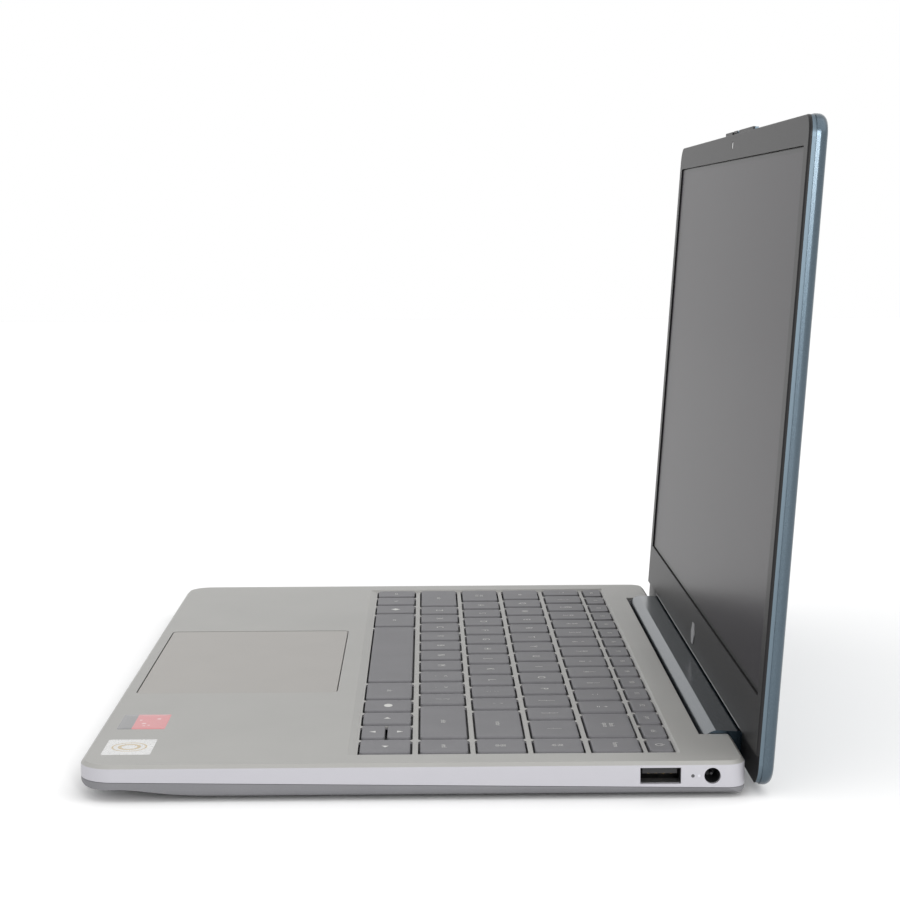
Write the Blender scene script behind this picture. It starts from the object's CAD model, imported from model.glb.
"""Laptop computer, open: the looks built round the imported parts. Metres, X right, Y back, Z up."""

import math

import bpy
import numpy as np
from mathutils import Matrix, Vector


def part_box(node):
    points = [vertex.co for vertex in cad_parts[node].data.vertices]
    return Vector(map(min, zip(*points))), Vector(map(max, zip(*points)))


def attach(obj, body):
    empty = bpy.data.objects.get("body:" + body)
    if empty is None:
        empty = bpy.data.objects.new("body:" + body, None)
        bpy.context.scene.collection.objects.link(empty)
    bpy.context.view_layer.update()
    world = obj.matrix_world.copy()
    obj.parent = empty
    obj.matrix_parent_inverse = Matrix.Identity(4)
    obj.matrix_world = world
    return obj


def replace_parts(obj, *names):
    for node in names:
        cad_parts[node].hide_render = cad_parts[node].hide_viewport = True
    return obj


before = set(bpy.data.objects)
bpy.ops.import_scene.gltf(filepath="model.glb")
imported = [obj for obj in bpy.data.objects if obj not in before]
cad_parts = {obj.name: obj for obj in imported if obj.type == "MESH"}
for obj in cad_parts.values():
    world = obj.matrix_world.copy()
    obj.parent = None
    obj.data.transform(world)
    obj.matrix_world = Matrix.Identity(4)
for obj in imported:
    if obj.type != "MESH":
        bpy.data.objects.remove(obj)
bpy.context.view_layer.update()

# ---- camera --------------------------------------------------------------------------------------
# A long lens on the right-hand side of the computer, level with the upper part of the lid and aimed
# a little down. Yaw, pitch and roll are in radians, from a level look straight across.
CAMERA_PLACE = Vector((0.80666, -0.00548, 0.18218))
CAMERA_YAW = 0.0112
CAMERA_PITCH = 0.1093
CAMERA_ROLL = -0.0048
CAMERA_LENS = 83.68

cos_yaw = math.cos(CAMERA_YAW)
sin_yaw = math.sin(CAMERA_YAW)
cos_pitch = math.cos(CAMERA_PITCH)
ahead = Vector((-cos_yaw * cos_pitch, sin_yaw * cos_pitch, -math.sin(CAMERA_PITCH)))
level = Vector((sin_yaw, cos_yaw, 0))
upright = level.cross(ahead)
right = math.cos(CAMERA_ROLL) * level + math.sin(CAMERA_ROLL) * upright
up = math.cos(CAMERA_ROLL) * upright - math.sin(CAMERA_ROLL) * level
camera = bpy.data.objects.new("camera", bpy.data.cameras.new("camera"))
camera.data.lens = CAMERA_LENS
camera.data.clip_start = 0.01
aim = Matrix((right, up, -ahead)).transposed().to_4x4()
camera.matrix_world = Matrix.Translation(CAMERA_PLACE) @ aim
bpy.context.scene.collection.objects.link(camera)
bpy.context.scene.camera = camera

# ---- studio light --------------------------------------------------------------------------------
# A white room that lights from all round, and a wide soft light high up behind, so that the lid
# shades the hinge end of the deck a little. An upright strip on the right puts a pale streak on the
# rims.
ROOM_WHITE = (1.0, 1.0, 1.0, 1.0)
ROOM_STRENGTH = 1.0
SUN_STRENGTH = 0.75
SUN_WIDTH = math.radians(70)
SUN_FROM = Vector((0.35, 0.75, 1.0))
STRIP_PLACE = Vector((1.45, 0.31, 0.5))
STRIP_TARGET = Vector((0.16, 0.09, 0.16))
STRIP_TALL = 0.6
STRIP_WIDE = 0.14
STRIP_POWER = 7.0

world = bpy.data.worlds.new("white_room")
world.use_nodes = True
room = world.node_tree.nodes["Background"]
room.inputs["Color"].default_value = ROOM_WHITE
room.inputs["Strength"].default_value = ROOM_STRENGTH
bpy.context.scene.world = world
bpy.context.scene.view_settings.view_transform = "Standard"
strip = bpy.data.lights.new("strip_light", "AREA")
strip.shape = "RECTANGLE"
strip.size = STRIP_WIDE
strip.size_y = STRIP_TALL
strip.energy = STRIP_POWER
strip_holder = bpy.data.objects.new("strip_light", strip)
strip_holder.location = STRIP_PLACE
strip_holder.rotation_euler = (STRIP_TARGET - STRIP_PLACE).to_track_quat("-Z", "Y").to_euler()
bpy.context.scene.collection.objects.link(strip_holder)
sun = bpy.data.lights.new("wide_light", "SUN")
sun.energy = SUN_STRENGTH
sun.angle = SUN_WIDTH
sun_holder = bpy.data.objects.new("wide_light", sun)
sun_holder.rotation_euler = (-SUN_FROM).to_track_quat("-Z", "Y").to_euler()
bpy.context.scene.collection.objects.link(sun_holder)

# ---- shader arithmetic and the deck's silver paint -----------------------------------------------
# The upper case is a plastic moulding sprayed silver. Fine metal flakes in the paint glint, and the
# side wall takes a cooler tone than the top. The keyboard's well is painted with it.


class Value:
    """An output socket of a node tree that arithmetic can be written with."""

    def __init__(self, tree, socket):
        self.tree = tree
        self.socket = socket

    def node(self, kind, settings, inputs, output=0):
        """Add a node of that kind: settings first, then values or links by input; returns an output."""
        made = self.tree.nodes.new(kind)
        for name, setting in settings.items():
            setattr(made, name, setting)
        for key, entry in inputs.items():
            if isinstance(entry, Value):
                self.tree.links.new(entry.socket, made.inputs[key])
            else:
                made.inputs[key].default_value = entry
        return Value(self.tree, made.outputs[output])

    def math(self, operation, first, second=0.0):
        """A Math node on two numbers or sockets."""
        return self.node("ShaderNodeMath", {"operation": operation}, {0: first, 1: second})

    def __add__(self, other):
        return self.math("ADD", self, other)

    def __radd__(self, other):
        return self.math("ADD", other, self)

    def __sub__(self, other):
        return self.math("SUBTRACT", self, other)

    def __rsub__(self, other):
        return self.math("SUBTRACT", other, self)

    def __mul__(self, other):
        return self.math("MULTIPLY", self, other)

    def __rmul__(self, other):
        return self.math("MULTIPLY", other, self)

    def __gt__(self, other):
        return self.math("GREATER_THAN", self, other)

    def __lt__(self, other):
        return self.math("LESS_THAN", self, other)

    def absolute(self):
        return self.math("ABSOLUTE", self)

    def axis(self, index):
        """X, Y or Z of a vector socket, for index 0, 1 or 2."""
        return self.node("ShaderNodeSeparateXYZ", {}, {0: self}, index)

    def noise(self, scale, detail=2.0):
        """Noise between 0 and 1 with features of about 1 / scale metres."""
        return self.node("ShaderNodeTexNoise", {}, {"Vector": self, "Scale": scale, "Detail": detail})

    def between(self, low, high):
        """1 where the number lies between low and high, else 0."""
        return (self > low) * (self < high)

    def blend(self, dark, light):
        """Colour from dark to light as this goes from 0 to 1; either may be a colour or a socket."""
        return self.node("ShaderNodeMix", {"data_type": "RGBA"}, {0: self, 6: dark, 7: light}, 2)


def new_material(name, **constants):
    """A material with a Principled shader, its constant inputs set; returns it, shader and position."""
    material = bpy.data.materials.new(name)
    material.use_nodes = True
    tree = material.node_tree
    shader = tree.nodes["Principled BSDF"]
    for key, entry in constants.items():
        shader.inputs[key.replace("_", " ")].default_value = entry
    place = tree.nodes.new("ShaderNodeTexCoord").outputs["Object"]
    return material, shader, Value(tree, place)


def link(shader, key, value):
    """Join a socket to one of the shader's inputs."""
    value.tree.links.new(value.socket, shader.inputs[key])


def grain(shader, height, depth):
    """Bump the surface by a height between 0 and 1, depth metres for 1."""
    link(shader, "Normal", height.node(
        "ShaderNodeBump", {}, {"Strength": 1.0, "Distance": depth, "Height": height}
    ))


def paint(material, *nodes):
    """Give every slot of these parts that material."""
    for node in nodes:
        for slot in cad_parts[node].material_slots:
            slot.material = material


def speckle(shader, place, dark, light, fine, rough, swing, depth=0.0, broad=None, share=1.0):
    """Give a shader a speckled finish, from a fine and a broad noise, each (scale, detail).

    Colour goes from dark to light by share fine + (1 - share) broad, roughness is rough + swing
    fine, and the fine noise bumps the surface by depth. Returns the colour, to lay a mask over.
    """
    speck = place.noise(*fine)
    mix = share * speck + (1 - share) * place.noise(*broad) if broad else speck
    tone = mix.blend(dark, light)
    link(shader, "Base Color", tone)
    link(shader, "Roughness", rough + swing * speck)
    if depth:
        grain(shader, speck, depth)
    return tone


SILVER_DARK = (0.29, 0.287, 0.274, 1)
SILVER_LIGHT = (0.345, 0.341, 0.326, 1)
SIDE_SILVER = (0.42, 0.415, 0.445, 1)
WALL_TOP = 0.0109

silver, shader, place = new_material("silver_paint", Metallic=0.15)
deck_silver = speckle(
    shader, place, SILVER_DARK, SILVER_LIGHT, fine=(5200.0, 1.0), broad=(38.0, 3.0), share=0.25,
    rough=0.36, swing=0.16, depth=0.00002,
)
side_wall = place.axis(2) < WALL_TOP
link(shader, "Base Color", side_wall.blend(deck_silver, SIDE_SILVER))
paint(silver, "top_cover")

# ---- bottom case ---------------------------------------------------------------------------------
# The tray under the seam, with the air slots and the holes for the screws. It is moulded in grey
# plastic with a fine spark-eroded texture.
TRAY_DARK = (0.13, 0.13, 0.14, 1)
TRAY_LIGHT = (0.19, 0.19, 0.2, 1)

tray, shader, place = new_material("tray_plastic")
speckle(
    shader, place, TRAY_DARK, TRAY_LIGHT, fine=(2600.0, 3.0), broad=(45.0, 2.0), share=0.6,
    rough=0.45, swing=0.2, depth=0.00005,
)
paint(tray, "bottom_cover")

# ---- touchpad ------------------------------------------------------------------------------------
# A plate let into the deck, free to tilt a little about its rear edge. It is satin plastic, slightly
# browner than the deck, with a very fine even sanded texture.
PAD_DARK = (0.25, 0.236, 0.22, 1)
PAD_LIGHT = (0.30, 0.285, 0.265, 1)

pad, shader, place = new_material("touchpad_satin")
speckle(
    shader, place, PAD_DARK, PAD_LIGHT, fine=(4200.0, 2.0), broad=(60.0, 2.0), share=0.5,
    rough=0.3, swing=0.14, depth=0.00001,
)
paint(pad, "touchpad")

# ---- keycaps -------------------------------------------------------------------------------------
# Thin grey caps, moulded with a softened rim and a faint dish, hollow underneath, matte. Every cap
# is a stack of rounded rectangles that goes from the roof underneath, down the inner skirt, round
# the foot, up the outside and in over the top.
KEY_GREY_DARK = (0.125, 0.124, 0.132, 1)
KEY_GREY_LIGHT = (0.175, 0.173, 0.183, 1)
KEY_CORNER = 0.0011
KEY_DISH = 0.00013
KEY_WALL = 0.0009
KEY_RIM = 0.0004
KEY_RIM_ANGLES = (30, 60, 90)
KEY_ROOF_INSET = 0.002
KEY_LEAST_CORNER = 0.00004
KEY_TOP_STEPS = (0.25, 0.5, 0.75, 0.97)
SHARP_ANGLE = math.radians(35)
KEY_NODES = sorted(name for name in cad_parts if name.startswith("key") and name not in (
    "keyboard_plate", "keyboard_membrane", "key_domes", "key_scissors"))


def islands(low, high):
    """Merge overlapping intervals; returns the (low, high) of each group in rising order."""
    order = np.argsort(low)
    reach = np.maximum.accumulate(high[order])
    starts = np.concatenate([[True], low[order][1:] > reach[:-1]])
    first = np.flatnonzero(starts)
    last = np.concatenate([first[1:] - 1, [len(order) - 1]])
    return list(zip(low[order][first], reach[last]))


def mesh_points(mesh):
    """The vertices of a mesh as an (n, 3) array."""
    points = np.zeros(len(mesh.vertices) * 3)
    mesh.vertices.foreach_get("co", points)
    return points.reshape(-1, 3)


def plan_boxes(node):
    """Plan boxes (x0, x1, y0, y1) of a node's separate solids, left to right and then front to back."""
    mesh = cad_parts[node].data
    mesh.calc_loop_triangles()
    corners = np.zeros(len(mesh.loop_triangles) * 3, np.int32)
    mesh.loop_triangles.foreach_get("vertices", corners)
    faces = mesh_points(mesh)[corners.reshape(-1, 3)]
    low = faces.min(1)
    high = faces.max(1)
    boxes = []
    for x0, x1 in islands(low[:, 0], high[:, 0]):
        inside = (low[:, 0] >= x0) & (high[:, 0] <= x1)
        for y0, y1 in islands(low[inside, 1], high[inside, 1]):
            boxes.append((x0, x1, y0, y1))
    return boxes


def ring(half_x, half_y, radius, height, steps=5):
    """Rounded rectangle about the origin: quarter circles of that radius at the four corners."""
    radius = min(radius, half_x, half_y)
    quarter = np.linspace(0, math.pi / 2, steps)
    angles = np.concatenate([quarter + corner * math.pi / 2 for corner in range(4)])
    sign_x = np.repeat([1, -1, -1, 1], steps)
    sign_y = np.repeat([1, 1, -1, -1], steps)
    x = sign_x * (half_x - radius) + radius * np.cos(angles)
    y = sign_y * (half_y - radius) + radius * np.sin(angles)
    return np.stack([x, y, np.full(len(x), height)], 1)


def stack(rings):
    """Vertices and faces of rings joined one to the next, each end closed by a face."""
    count = len(rings[0])
    points = np.concatenate(rings)
    here = np.arange(count)
    after = (here + 1) % count
    quads = []
    for level in range(len(rings) - 1):
        base = level * count
        square = [here + base, after + base, after + base + count, here + base + count]
        quads += np.stack(square, 1).tolist()
    last = (here + (len(rings) - 1) * count).tolist()
    return points, quads + [here[::-1].tolist(), last]


def make_piece(name, parts, material, body, smooth=True):
    """One mesh object from (points, faces) parts, riding on a body, with a record slot's finish."""
    points = np.concatenate([part[0] for part in parts])
    faces = []
    start = 0
    for part_points, part_faces in parts:
        faces += [[corner + start for corner in face] for face in part_faces]
        start += len(part_points)
    mesh = bpy.data.meshes.new(name)
    mesh.from_pydata(points.tolist(), [], faces)
    mesh.validate()
    mesh.polygons.foreach_set("use_smooth", [smooth] * len(mesh.polygons))
    mesh.materials.append(material)
    piece = bpy.data.objects.new(name, mesh)
    bpy.context.scene.collection.objects.link(piece)
    if smooth:
        mesh.set_sharp_from_angle(angle=SHARP_ANGLE)
    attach(piece, body)
    return piece


def sunk(points, half_x, half_y):
    """Depth of the dish, KEY_DISH (1 - (1 - t)^2), t from 0 at the cap's edge to 1 at its middle."""
    gap = np.minimum(half_x - np.abs(points[:, 0]), half_y - np.abs(points[:, 1]))
    t = np.clip(gap / min(half_x, half_y), 0, 1)
    return KEY_DISH * (1 - (1 - t) ** 2)


def cap(x0, x1, y0, y1, bottom, top):
    """A hollow cap in a plan box, its top dished by sunk() as the rings go inwards."""
    half_x = (x1 - x0) / 2
    half_y = (y1 - y0) / 2
    roof = top - KEY_WALL
    profile = [(KEY_WALL + KEY_ROOF_INSET, roof), (KEY_WALL, roof), (KEY_WALL, bottom), (0, bottom)]
    profile += [(0, top - KEY_RIM)]
    for angle in KEY_RIM_ANGLES:
        lean = math.radians(angle)
        profile.append((KEY_RIM * (1 - math.cos(lean)), top - KEY_RIM * (1 - math.sin(lean))))
    profile += [(step * min(half_x, half_y), top) for step in KEY_TOP_STEPS]
    rings = [ring(half_x - inset, half_y - inset, max(KEY_CORNER - inset, KEY_LEAST_CORNER), height)
             for inset, height in profile]
    points, faces = stack(rings)
    upper = points[:, 2] > top - 1e-6
    points[:, 2] -= upper * sunk(points, half_x, half_y)
    points[:, 0] += (x0 + x1) / 2
    points[:, 1] += (y0 + y1) / 2
    return points, faces


key_grey, shader, place = new_material("keycap_matte", Specular_IOR_Level=0.35)
speckle(
    shader, place, KEY_GREY_DARK, KEY_GREY_LIGHT, fine=(3800.0, 3.0), broad=(70.0, 2.0), share=0.4,
    rough=0.46, swing=0.16, depth=0.00002,
)
for node in KEY_NODES:
    low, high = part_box(node)
    caps = [cap(*plan, low.z, high.z) for plan in plan_boxes(node)]
    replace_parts(make_piece(node + "_caps", caps, key_grey, node), node)

# ---- key legends ---------------------------------------------------------------------------------
# Pale ink, a few hundredths of a millimetre thick, printed on the caps: plain letters and figures,
# words in small type, and drawn shapes for the arrows, the power key, the menu and the super key.
# A list in LEGENDS follows its node's caps from left to right, as plan_boxes() does.
INK_LIFT = 0.00003
INK_PALE = (0.62, 0.62, 0.60, 1)
INK_WORN = (0.48, 0.48, 0.46, 1)
LETTER_HEIGHT = 0.0042
PAIR_HEIGHT = 0.0032
WORD_HEIGHT = 0.0026
LINE_SPACE = 0.85
TYPE_STEPS = 3
ROUND_SIDES = 32
POWER_RADIUS = 0.0013
POWER_LINE = 0.00035
POWER_GAP = 70
POWER_BAR_HALF = 0.00018
POWER_BAR_LOW = 0.0003
POWER_BAR_HIGH = 0.0017
SUPER_HALF = 0.0021
MENU_HALF_X = 0.0024
MENU_HALF_Y = 0.0015
ARROW_REACH = 0.0014
ARROW_HEADINGS = {"(up)": 0, "(left)": 90, "(down)": 180, "(right)": 270}
LEGENDS = {
    "key_escape": ["esc"],
    "keys_function": [f"f{n}" for n in range(1, 13)] + ["prt", "del"],
    "key_power": ["(power)"],
    "keys_number": ["~\n`", "!\n1", "@\n2", "#\n3", "$\n4", "%\n5", "^\n6", "&\n7", "*\n8", "(\n9", ")\n0",
                    "_\n-", "+\n="],
    "key_backspace": ["back\nspace"],
    "key_tab": ["tab"],
    "keys_upper_letter": list("QWERTYUIOP") + ["{\n[", "}\n]", "|\n\\"],
    "key_caps_lock": ["caps\nlock"],
    "keys_home_letter": list("ASDFGHJKL") + [":\n;", "\"\n'"],
    "key_enter": ["enter"],
    "key_left_shift": ["shift"],
    "keys_lower_letter": list("ZXCVBNM") + ["<\n,", ">\n.", "?\n/"],
    "key_right_shift": ["shift"],
    "keys_modifier": ["ctrl", "fn", "(super)", "alt", "alt", "(menu)"],
    "key_space": [""],
    "key_arrow_left": ["(left)"],
    "key_arrow_down": ["(down)"],
    "key_arrow_up": ["(up)"],
    "key_arrow_right": ["(right)"],
    "keys_navigation": ["end", "pg\ndn", "pg\nup", "home"],
}


def round_angles(count):
    """That many angles evenly round a full turn, from 0."""
    return np.linspace(0, 2 * math.pi, count + 1)[:-1]


def arc_band(radius, width, start, end, count=24):
    """Flat band along a circle from a start to an end angle, in degrees from X."""
    angles = np.radians(np.linspace(start, end, count))
    circle = np.stack([np.cos(angles), np.sin(angles)], 1)
    points = np.concatenate([circle * (radius - width / 2), circle * (radius + width / 2)])
    here = np.arange(count - 1)
    return points, np.stack([here, here + count, here + count + 1, here + 1], 1).tolist()


def drawn(shape):
    """Flat outline of a drawn legend about the origin: points in X and Y, and faces."""
    if shape == "(power)":
        arc, faces = arc_band(POWER_RADIUS, POWER_LINE, 90 + POWER_GAP / 2, 450 - POWER_GAP / 2)
        bar = np.array([(-1, POWER_BAR_LOW), (1, POWER_BAR_LOW), (1, POWER_BAR_HIGH), (-1, POWER_BAR_HIGH)])
        bar_face = [len(arc) + corner for corner in range(4)]
        return np.concatenate([arc, bar * (POWER_BAR_HALF, 1)]), faces + [bar_face]
    if shape == "(super)":
        return SUPER_HALF * np.array([(0, -1), (1, 0), (0, 1), (-1, 0)]), [[0, 1, 2, 3]]
    if shape == "(menu)":
        angles = round_angles(ROUND_SIDES)
        outline = np.stack([MENU_HALF_X * np.cos(angles), MENU_HALF_Y * np.sin(angles)], 1)
        return outline, [list(range(ROUND_SIDES))]
    angles = np.radians(np.array([90, 210, 330]) + ARROW_HEADINGS[shape])
    return ARROW_REACH * np.stack([np.cos(angles), np.sin(angles)], 1), [[0, 1, 2]]


def written(text, height):
    """Flat mesh of centred type: points in X and Y, and faces."""
    curve = bpy.data.curves.new("type", "FONT")
    curve.body = text
    curve.size = height
    curve.align_x = "CENTER"
    curve.align_y = "CENTER"
    curve.space_line = LINE_SPACE
    curve.resolution_u = TYPE_STEPS
    holder = bpy.data.objects.new("type", curve)
    mesh = bpy.data.meshes.new_from_object(holder)
    points = mesh_points(mesh)[:, :2]
    faces = [list(face.vertices) for face in mesh.polygons]
    bpy.data.objects.remove(holder)
    bpy.data.curves.remove(curve)
    bpy.data.meshes.remove(mesh)
    return points, faces


def legend(text, x0, x1, y0, y1, top):
    """A legend laid on its cap, its height following the cap's dish."""
    if text.endswith(")"):
        points, faces = drawn(text)
    elif len(text) == 1:
        points, faces = written(text, LETTER_HEIGHT)
    elif len(text) == 3 and "\n" in text:
        points, faces = written(text, PAIR_HEIGHT)
    else:
        points, faces = written(text, WORD_HEIGHT)
    height = top + INK_LIFT - sunk(points, (x1 - x0) / 2, (y1 - y0) / 2)
    places = np.column_stack([points[:, 0] + (x0 + x1) / 2, points[:, 1] + (y0 + y1) / 2, height])
    return places, faces


def speckled(name, dark, light, fine, rough, swing, depth=0.0, **constants):
    """A new material that is speckle() with the fine noise alone."""
    material, shader, place = new_material(name, **constants)
    speckle(shader, place, dark, light, fine, rough, swing, depth)
    return material


ink = speckled("legend_ink", INK_WORN, INK_PALE, fine=(2500.0, 3.0), rough=0.4, swing=0.2)
for node in KEY_NODES:
    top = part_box(node)[1].z
    marks = [legend(text, *plan, top) for text, plan in zip(LEGENDS[node], plan_boxes(node)) if text]
    if marks:
        make_piece(node + "_legends", marks, ink, node, smooth=False)

# ---- lid shell and hinge bar ---------------------------------------------------------------------
# Both are plastic sprayed dark blue with a satin pearl in it, so their rims catch pale reflections
# while their faces stay deep. The bar has the deeper coat. Each pair is a deep and a pearly blue.
BLUE_METAL = 0.85
BLUES = {
    "lid_shell": ((0.034, 0.056, 0.076, 1), (0.115, 0.152, 0.182, 1)),
    "hinge_cover": ((0.010, 0.020, 0.030, 1), (0.032, 0.054, 0.074, 1)),
}

for node, (deep, pearly) in BLUES.items():
    blue, shader, place = new_material(
        "blue_pearl_" + node, Metallic=BLUE_METAL, Coat_Roughness=0.15, Coat_Weight=0.25
    )
    speckle(
        shader, place, deep, pearly, fine=(5200.0, 1.0), broad=(30.0, 2.0), share=0.85,
        rough=0.2, swing=0.12, depth=0.00001,
    )
    paint(blue, node)

# ---- bezel, camera board and privacy slider ------------------------------------------------------
# The frame round the panel is a satin black moulding, its rim sprayed with the shell behind the first
# millimetre, where SPRAY_EDGE is. The camera's board and the slider are black too, and a small glass
# lens stands in the camera's hole. LENS_PROFILE pairs parts of its radius with distances out.
BEZEL_DARK = (0.008, 0.008, 0.009, 1)
BEZEL_LIGHT = (0.016, 0.0155, 0.016, 1)
LID_LEAN = math.radians(4.11)
LID_FOOT = (0, 0.09801, 0.01366)
SPRAY_EDGE = -0.0011
LENS_UP = 0.197
LENS_RADIUS = 0.00156
LENS_PROFILE = ((0.3, -0.0017), (1.0, -0.0017), (1.0, -0.0002), (0.93, -0.0001), (0.5, -0.00006))
LENS_DARK = (0.01, 0.01, 0.02, 1)
LENS_TINT = (0.05, 0.02, 0.03, 1)


def on_lid(x, up, out):
    """Points at x, up the lid from the bezel's lower edge, and out of its face: an (n, 3) array.

    y is sin(lean) up - cos(lean) out and z is cos(lean) up + sin(lean) out, from LID_FOOT.
    """
    back = math.sin(LID_LEAN) * up - math.cos(LID_LEAN) * out
    rise = math.cos(LID_LEAN) * up + math.sin(LID_LEAN) * out
    return np.stack(np.broadcast_arrays(x, back, rise), 1) + LID_FOOT


def lid_distance(place, y_share, z_share):
    """Distance from LID_FOOT along a direction in the YZ plane, y_share y + z_share z, as a socket."""
    subtract = {"operation": "SUBTRACT"}
    from_foot = place.node("ShaderNodeVectorMath", subtract, {0: place, 1: LID_FOOT})
    return from_foot.axis(1) * y_share + from_foot.axis(2) * z_share


bezel_black, shader, place = new_material("bezel_black", IOR=1.28)
black = speckle(
    shader, place, BEZEL_DARK, BEZEL_LIGHT, fine=(3600.0, 3.0), broad=(55.0, 2.0), share=0.5,
    rough=0.34, swing=0.14, depth=0.000012,
)
sprayed = lid_distance(place, -math.cos(LID_LEAN), math.sin(LID_LEAN)) < SPRAY_EDGE
link(shader, "Base Color", sprayed.blend(black, BLUES["lid_shell"][1]))
link(shader, "Metallic", BLUE_METAL * sprayed)
paint(bezel_black, "bezel", "webcam", "privacy_shutter")

glass = speckled(
    "lens_glass", LENS_DARK, LENS_TINT, fine=(900.0, 2.0), rough=0.03, swing=0.05,
    Coat_Weight=1.0, Coat_Roughness=0.03,
)
lens_x = LENS_RADIUS * np.cos(round_angles(ROUND_SIDES))
lens_y = LENS_RADIUS * np.sin(round_angles(ROUND_SIDES))
lens_rings = [on_lid(reach * lens_x, LENS_UP + reach * lens_y, out) for reach, out in LENS_PROFILE]
make_piece("webcam_lens", [stack(lens_rings)], glass, "lid")

# ---- bezel lip -----------------------------------------------------------------------------------
# The bezel's lower edge, above the hinge bar, ends in a thin moulded bead with a polished crest that
# shows as a fine pale line. Its section is half an ellipse, carried along the edge.
BEAD_HALF = 0.126
BEAD_TALL = 0.00028
BEAD_PROUD = 0.00008
BEAD_ROUND_STEPS = 9
BEAD_LONG_STEPS = 31
BEAD_DARK = (0.16, 0.16, 0.17, 1)
BEAD_LIGHT = (0.30, 0.30, 0.31, 1)

bead = speckled(
    "bead_polish", BEAD_DARK, BEAD_LIGHT, fine=(1500.0, 3.0), rough=0.2, swing=0.15, Metallic=0.4
)
bead_angles = np.linspace(0, math.pi, BEAD_ROUND_STEPS)
bead_up = BEAD_TALL * (1 - np.cos(bead_angles)) / 2
bead_out = BEAD_PROUD * np.sin(bead_angles)
bead_x = np.linspace(-BEAD_HALF, BEAD_HALF, BEAD_LONG_STEPS)
bead_rings = [on_lid(x, bead_up, bead_out) for x in bead_x]
make_piece("bezel_bead", [stack(bead_rings)], bead, "lid")

# ---- display panel -------------------------------------------------------------------------------
# An unlit liquid-crystal panel under a matte anti-glare film, with a thin black border. The film's
# fine roughness turns reflections of the room into an even grey. PANEL_LOW and PANEL_HIGH are
# heights up the lid.
PANEL_HALF = 0.1536
PANEL_LOW = 0.0194
PANEL_HIGH = 0.1898
PANEL_BLACK = (0.006, 0.006, 0.007, 1)
FILM_DARK = (0.014, 0.012, 0.016, 1)
FILM_LIGHT = (0.02, 0.017, 0.022, 1)

panel, shader, place = new_material("panel_film", IOR=1.16)
film = speckle(
    shader, place, FILM_DARK, FILM_LIGHT, fine=(9000.0, 1.0), broad=(18.0, 2.0), share=0.5,
    rough=0.26, swing=0.06, depth=0.000004,
)
height = lid_distance(place, math.sin(LID_LEAN), math.cos(LID_LEAN))
active = height.between(PANEL_LOW, PANEL_HIGH) * (place.axis(0).absolute() < PANEL_HALF)
link(shader, "Base Color", active.blend(PANEL_BLACK, film))
paint(panel, "display_panel")

# ---- chin badge ----------------------------------------------------------------------------------
# A small six-sided badge of satin metal, stamped from sheet and stuck on below the panel. It is a
# plain shape, with no mark.
BADGE_DARK = (0.30, 0.31, 0.32, 1)
BADGE_LIGHT = (0.46, 0.45, 0.46, 1)

badge = speckled(
    "badge_satin", BADGE_DARK, BADGE_LIGHT, fine=(1800.0, 3.0), rough=0.3, swing=0.15, Metallic=0.6
)
paint(badge, "chin_badge")

# ---- labels --------------------------------------------------------------------------------------
# Two thin printed films stuck on the palm rest's right corner. One is red with a dark third, the
# other silvery with rings; both carry plain abstract shapes and no words. Plan boxes are x0, x1, y0
# and y1, and LABEL_PROFILE holds insets and parts of the thickness.
LABEL_THICK = 0.00012
LABEL_CORNER = 0.0008
LABEL_PROFILE = ((0.002, 0.0), (0.0, 0.0), (0.0, 0.6), (0.00004, 0.9), (0.0001, 1.0), (0.003, 1.0))
DECK_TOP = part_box("touchpad")[1].z
RED_LABEL = (0.093, 0.114, -0.1108, -0.0945)
RED_FILM = (0.50, 0.10, 0.11, 1)
DARK_FILM = (0.10, 0.10, 0.105, 1)
DARK_FILM_BACK = -0.1058
FLECK_SCALE = 330.0
FLECK_REACH = 0.25
FLECK_X = (0.0975, 0.1095)
FLECK_Y = (-0.1045, -0.0975)
FLECK_PALE = (0.62, 0.40, 0.40, 1)
RING_LABEL = (0.128, 0.148, -0.1110, -0.0950)
RING_CENTRE = (sum(RING_LABEL[:2]) / 2, sum(RING_LABEL[2:]) / 2, DECK_TOP + LABEL_THICK)
RING_GOLD = (0.50, 0.40, 0.24, 1)
INNER_RING = (0.0026, 0.0038)
OUTER_RING = (0.0052, 0.0058)
FOIL_DARK = (0.50, 0.50, 0.50, 1)
FOIL_LIGHT = (0.78, 0.78, 0.77, 1)


def label_plate(x0, x1, y0, y1):
    """A thin plate with a softened edge lying on the deck: stacked rounded rectangles."""
    half_x = (x1 - x0) / 2
    half_y = (y1 - y0) / 2
    rings = [ring(half_x - inset, half_y - inset, LABEL_CORNER, DECK_TOP + part * LABEL_THICK)
             for inset, part in LABEL_PROFILE]
    points, faces = stack(rings)
    return points + np.array([(x0 + x1) / 2, (y0 + y1) / 2, 0]), faces


red_film, shader, place = new_material("label_red", Coat_Weight=0.5, Coat_Roughness=0.15)
cells = place.node("ShaderNodeTexVoronoi", {}, {"Vector": place, "Scale": FLECK_SCALE})
flecks = (cells < FLECK_REACH) * place.axis(1).between(*FLECK_Y) * place.axis(0).between(*FLECK_X)
ground = (place.axis(1) > DARK_FILM_BACK).blend(DARK_FILM, RED_FILM)
link(shader, "Base Color", flecks.blend(ground, FLECK_PALE))
link(shader, "Roughness", 0.25 + 0.15 * place.noise(1500.0))
make_piece("label_red", [label_plate(*RED_LABEL)], red_film, "base")

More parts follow.
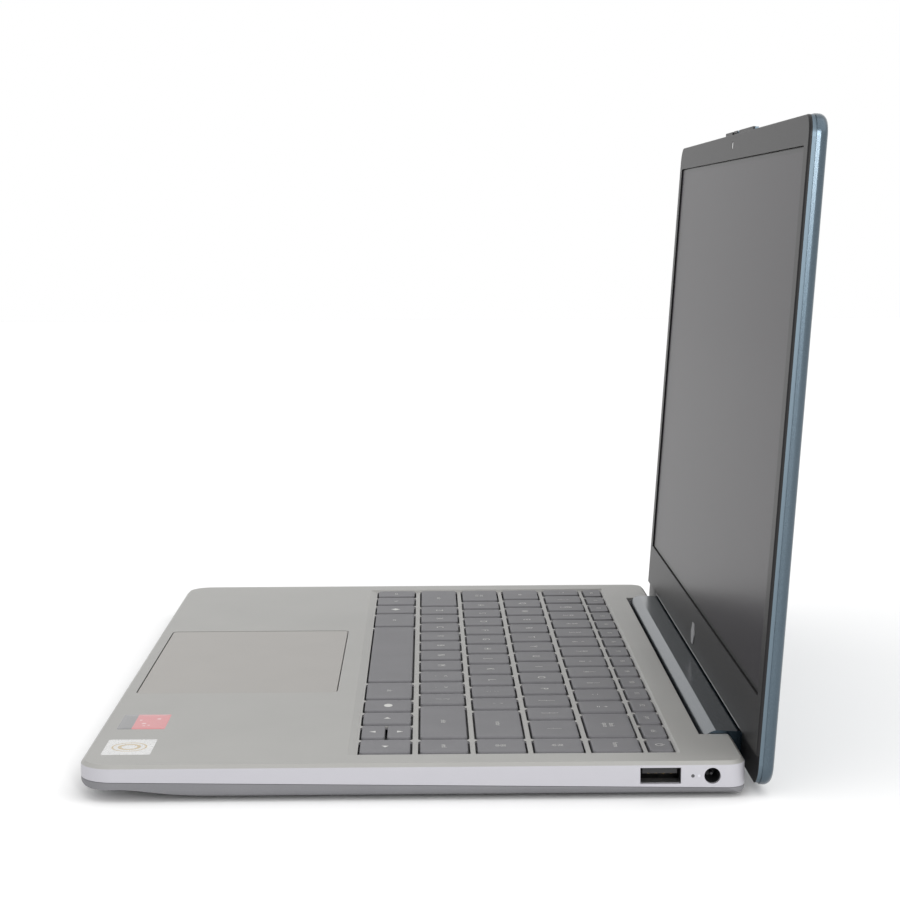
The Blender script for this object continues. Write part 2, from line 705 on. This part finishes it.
ring_film, shader, place = new_material("label_ring", Metallic=0.5)
middle = place.node("ShaderNodeVectorMath", {"operation": "DISTANCE"}, {0: place, 1: RING_CENTRE}, 1)
gold = middle.between(*INNER_RING) + middle.between(*OUTER_RING)
foil = place.noise(700.0, 3.0).blend(FOIL_DARK, FOIL_LIGHT)
link(shader, "Base Color", gold.blend(foil, RING_GOLD))
link(shader, "Roughness", 0.2 + 0.2 * place.noise(1200.0))
make_piece("label_ring", [label_plate(*RING_LABEL)], ring_film, "base")

# ---- ports ---------------------------------------------------------------------------------------
# Stamped steel shells, plated along the lower lip of the mouth and black within, with a black tongue.
# In the two wide sockets the tongue's underside carries four gilded contacts.
LIP_TOP = 0.0053
LIP_DEPTH = 0.155
PLATE_DARK = (0.30, 0.30, 0.31, 1)
PLATE_LIGHT = (0.46, 0.46, 0.47, 1)
PLATE_METAL = 0.9
TONGUE_BLACK = (0.012, 0.012, 0.014, 1)
CONTACT_PITCH = 0.0024
CONTACT_LONG = 0.0052
CONTACT_WIDE = 0.0011
CONTACT_CORNER = 0.0002
CONTACT_BACK = 0.0044
CONTACT_Z = 0.00744
CONTACT_PROFILE = ((0.0002, 0.0), (0.0, 0.00004), (0.0, 0.0001), (0.0002, 0.0002))
GILT_DARK = (0.62, 0.42, 0.14, 1)
GILT_LIGHT = (0.86, 0.64, 0.28, 1)

port_steel, shader, place = new_material("port_plating")
plating = speckle(
    shader, place, PLATE_DARK, PLATE_LIGHT, fine=(1600.0, 3.0), rough=0.28, swing=0.2, depth=0.00001
)
lip = (place.axis(2) < LIP_TOP) * (place.axis(0).absolute() > LIP_DEPTH)
link(shader, "Base Color", lip.blend(TONGUE_BLACK, plating))
link(shader, "Metallic", PLATE_METAL * lip)
paint(port_steel, "usb_a_right", "usb_a_left", "hdmi_left", "usb_c_left")

gilt = speckled(
    "contact_gilt", GILT_DARK, GILT_LIGHT, fine=(2400.0, 2.0), rough=0.22, swing=0.15, Metallic=1.0
)
for node in ("usb_a_right", "usb_a_left"):
    low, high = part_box(node)
    side = math.copysign(1, low.x)
    mouth = max(abs(low.x), abs(high.x))
    middle = (low.y + high.y) / 2
    strips = []
    for step in (-1.5, -0.5, 0.5, 1.5):
        centre = (side * (mouth - CONTACT_BACK), middle + step * CONTACT_PITCH, CONTACT_Z)
        rings = [ring(CONTACT_LONG / 2 - inset, CONTACT_WIDE / 2 - inset, CONTACT_CORNER, height) + centre
                 for inset, height in CONTACT_PROFILE]
        strips.append(stack(rings))
    make_piece(node + "_contacts", strips, gilt, "base")

# ---- mouldings, rubber, steel, battery and copper ------------------------------------------------
# What shows through the seams and from underneath, each a plain stock finish: black mouldings, rubber
# feet and domes, pressed steel, the blackened key plate, the wrapped cells and the copper heat pipe.
moulding = speckled(
    "black_moulding", dark=(0.012, 0.012, 0.013, 1), light=(0.028, 0.028, 0.03, 1),
    fine=(2400.0, 3.0), rough=0.4, swing=0.2, depth=0.00003,
)
paint(moulding, "keyboard_membrane", "key_scissors", "dc_jack", "audio_jack_left", "speaker_left",
      "speaker_right", "fan_housing", "fan_impeller", "display_cable")

rubber = speckled(
    "foot_rubber", dark=(0.018, 0.018, 0.019, 1), light=(0.045, 0.045, 0.047, 1),
    fine=(2800.0, 4.0), rough=0.7, swing=0.2, depth=0.00006, Specular_IOR_Level=0.3,
)
paint(rubber, "front_feet", "rear_foot", "key_domes")

steel = speckled(
    "plain_steel", dark=(0.42, 0.42, 0.43, 1), light=(0.60, 0.60, 0.61, 1),
    fine=(900.0, 4.0), rough=0.28, swing=0.22, depth=0.00001, Metallic=1.0,
)
paint(steel, "touchpad_bracket", "hinge_bracket_left", "hinge_bracket_right",
      "hinge_arm_left", "hinge_arm_right")

black_plate = speckled(
    "blackened_plate", dark=(0.006, 0.006, 0.007, 1), light=(0.016, 0.016, 0.017, 1),
    fine=(1900.0, 3.0), rough=0.5, swing=0.2, Metallic=0.3,
)
paint(black_plate, "keyboard_plate")

wrap = speckled(
    "battery_wrap", dark=(0.02, 0.02, 0.022, 1), light=(0.05, 0.05, 0.055, 1),
    fine=(160.0, 5.0), rough=0.35, swing=0.2, depth=0.0001, Coat_Weight=0.2,
)
paint(wrap, "battery")

copper = speckled(
    "bare_copper", dark=(0.42, 0.16, 0.08, 1), light=(0.72, 0.36, 0.22, 1),
    fine=(240.0, 5.0), rough=0.25, swing=0.25, Metallic=1.0,
)
paint(copper, "heatsink")

# ---- circuit boards ------------------------------------------------------------------------------
# Glass-fibre boards under green solder mask. The weave clouds the mask, and copper lands under it
# show as a paler green.
MASK_DARK = (0.006, 0.045, 0.03, 1)
MASK_LIGHT = (0.015, 0.09, 0.055, 1)
LAND_GREEN = (0.03, 0.15, 0.09, 1)
LAND_SCALE = 260.0
LAND_REACH = 0.52

boards, shader, place = new_material("solder_mask", Coat_Weight=0.3)
mask = speckle(shader, place, MASK_DARK, MASK_LIGHT, fine=(650.0, 4.0), rough=0.3, swing=0.2)
lands = place.node("ShaderNodeTexVoronoi", {}, {"Vector": place, "Scale": LAND_SCALE}) > LAND_REACH
link(shader, "Base Color", lands.blend(mask, LAND_GREEN))
paint(boards, "mainboard", "memory_module", "solid_state_drive", "wireless_card")

# ---- status lights -------------------------------------------------------------------------------
# Two light pipes of clouded clear plastic, pressed into the wall beside the power inlet. The front
# one is unlit and looks dark.
LAMP_CLOUD_DARK = (0.48, 0.48, 0.52, 1)
LAMP_CLOUD_LIGHT = (0.62, 0.62, 0.66, 1)
UNLIT_LAMP = (0.05, 0.05, 0.055, 1)
UNLIT_LAMP_BACK = 0.079

guide, shader, place = new_material("light_guide", Coat_Weight=0.6)
clouded = speckle(
    shader, place, LAMP_CLOUD_DARK, LAMP_CLOUD_LIGHT, fine=(1400.0, 3.0), rough=0.2, swing=0.2
)
unlit = place.axis(1) < UNLIT_LAMP_BACK
link(shader, "Base Color", unlit.blend(clouded, UNLIT_LAMP))
paint(guide, "status_lights")

# ---- case screws ---------------------------------------------------------------------------------
# Small plated machine screws in the tray's holes: a softly domed head with a six-lobed recess and a
# straight shank. The recess is a circle whose radius swings by LOBE_SWING, six times round.
LOBE_RADIUS = 0.00052
LOBE_SWING = 0.00009
LOBE_DEPTH = 0.0007
HEAD_DOME = 0.00012
SCREW_SIDES = 48

screw_points = mesh_points(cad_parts["case_screws"].data)
screw_angles = round_angles(SCREW_SIDES)
lobes = LOBE_RADIUS + LOBE_SWING * np.cos(6 * screw_angles)
screws = []
for x0, x1, y0, y1 in plan_boxes("case_screws"):
    near = (screw_points[:, 0] >= x0) & (screw_points[:, 0] <= x1)
    near &= (screw_points[:, 1] >= y0) & (screw_points[:, 1] <= y1)
    foot = screw_points[near, 2].min()
    crown = screw_points[near, 2].max()
    radius = (x1 - x0) / 2
    rounds = [(0.3 * lobes, foot + LOBE_DEPTH), (lobes, foot + LOBE_DEPTH), (lobes, foot)]
    rounds += [(0.8 * radius, foot), (0.97 * radius, foot + HEAD_DOME), (radius, foot + 2 * HEAD_DOME)]
    rounds += [(radius, crown - HEAD_DOME), (0.9 * radius, crown)]
    rings = []
    for reach, height in rounds:
        x = (x0 + x1) / 2 + reach * np.cos(screw_angles)
        y = (y0 + y1) / 2 + reach * np.sin(screw_angles)
        rings.append(np.column_stack([x, y, np.full(SCREW_SIDES, height)]))
    screws.append(stack(rings))
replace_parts(make_piece("recessed_screws", screws, steel, "base"), "case_screws")

# ---- floor ---------------------------------------------------------------------------------------
# A plain white table with a slight mottle, wide enough for its edges to stay far from the computer.
# It isn't part of the object.
FLOOR_SIDE = 6.0
FLOOR_STEPS = 25
FLOOR_DARK = (0.88, 0.88, 0.88, 1)
FLOOR_LIGHT = (0.92, 0.92, 0.92, 1)

table_white = speckled(
    "table_white", FLOOR_DARK, FLOOR_LIGHT, fine=(6.0, 3.0), rough=0.75, swing=0.1,
    Specular_IOR_Level=0.2,
)
line = np.linspace(-FLOOR_SIDE / 2, FLOOR_SIDE / 2, FLOOR_STEPS)
grid_x, grid_y = np.meshgrid(line, line)
floor_points = np.column_stack([grid_x.ravel(), grid_y.ravel(), np.zeros(FLOOR_STEPS ** 2)])
corner = (np.arange(FLOOR_STEPS - 1)[:, None] * FLOOR_STEPS + np.arange(FLOOR_STEPS - 1)).ravel()
floor_faces = np.stack([corner, corner + 1, corner + FLOOR_STEPS + 1, corner + FLOOR_STEPS], 1)
floor_mesh = bpy.data.meshes.new("floor")
floor_mesh.from_pydata(floor_points.tolist(), [], floor_faces.tolist())
floor_mesh.materials.append(table_white)
floor = bpy.data.objects.new("floor", floor_mesh)
bpy.context.scene.collection.objects.link(floor)
